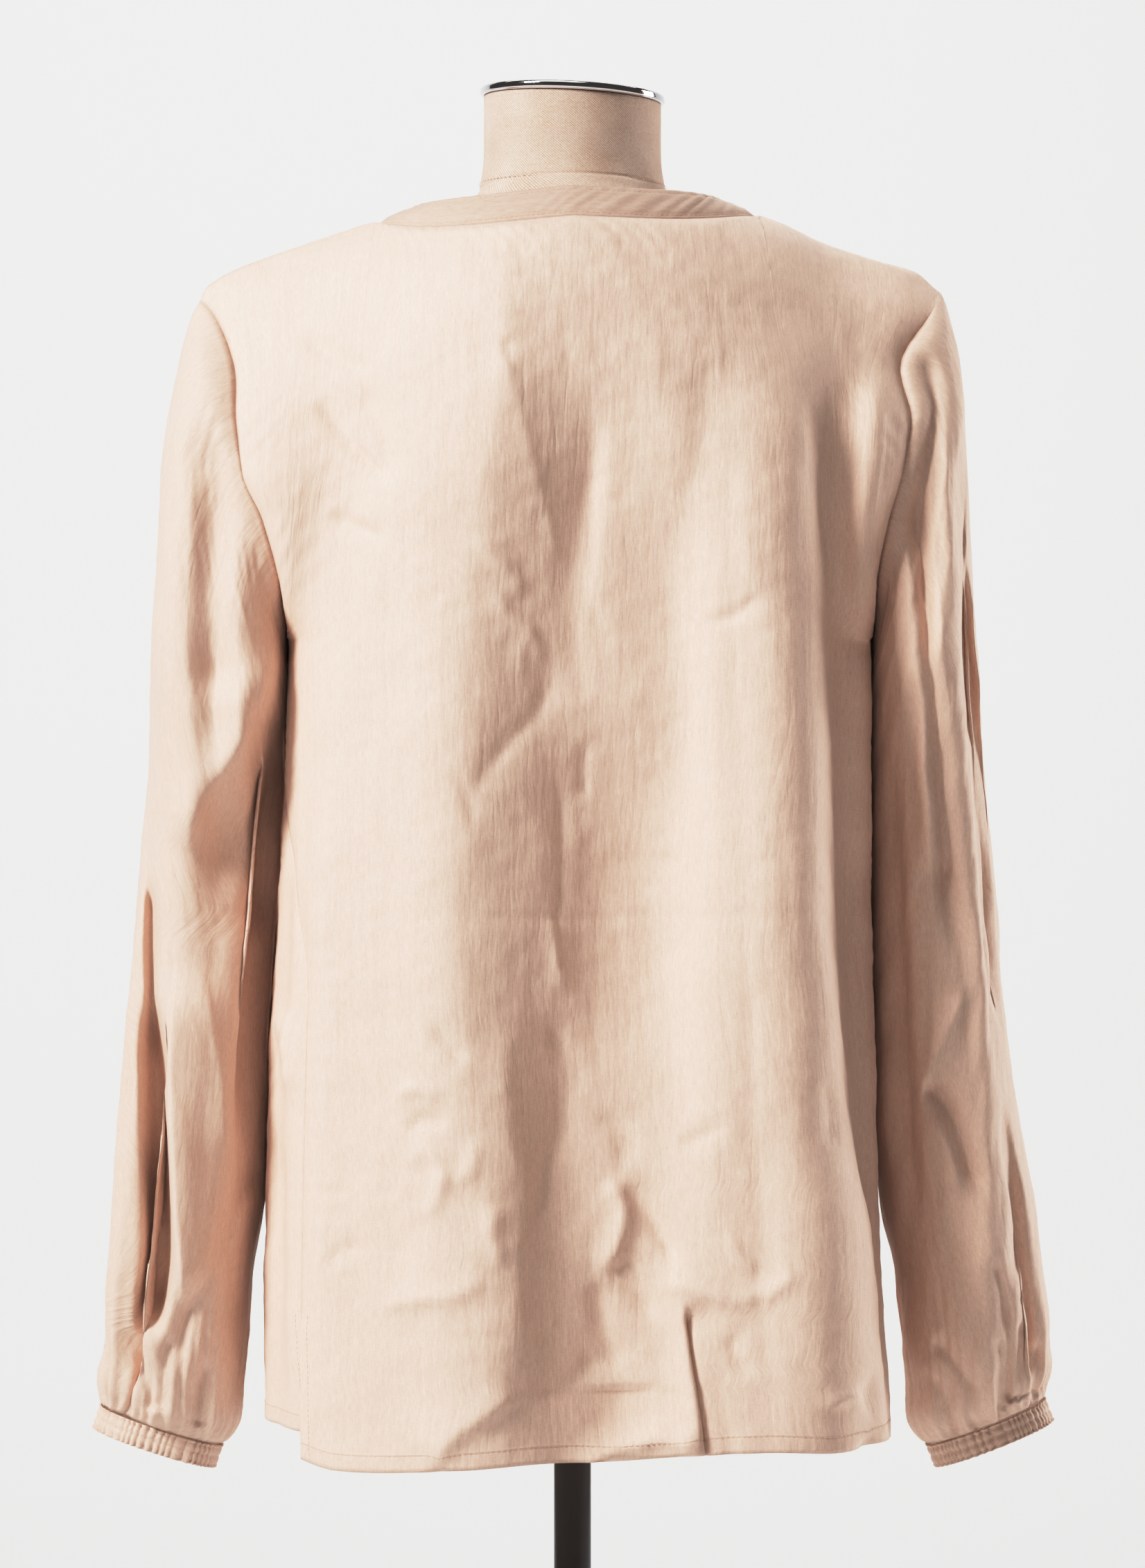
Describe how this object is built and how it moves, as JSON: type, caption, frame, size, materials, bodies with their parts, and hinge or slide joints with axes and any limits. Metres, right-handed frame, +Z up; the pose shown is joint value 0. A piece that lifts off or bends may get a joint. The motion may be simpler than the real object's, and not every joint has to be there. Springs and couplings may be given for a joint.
{
  "type": "long-sleeved blouse on a limbless dress form and stand",
  "caption": "Loose collarless blouse with elastic cuffs and a V neck in front, worn by a limbless dress form on a round-footed stand.",
  "frame": {"origin": "on the floor, on the pole's axis, in the middle of the base's underside", "axes": "+Z up; +X towards the wearer's right; +Y the way the wearer faces, so the blouse's back faces -Y"},
  "size_m": [0.5447, 0.3, 1.4981],
  "materials": {
    "blouse_cloth": "soft woven viscose in pale peach beige",
    "form_cover": "stretched twill cover in tan",
    "cap_chrome": "polished",
    "pole_black": "satin black",
    "base_black": "fine-textured black"
  },
  "bodies": {
    "root": {"back_panel": "blouse_cloth", "front_panel": "blouse_cloth", "left_sleeve": "blouse_cloth", "right_sleeve": "blouse_cloth", "left_cuff": "blouse_cloth", "right_cuff": "blouse_cloth", "neckband": "blouse_cloth", "form_body": "form_cover", "neck_cap": "cap_chrome", "pole": "pole_black", "base": "base_black"}
  },
  "joints": []
}
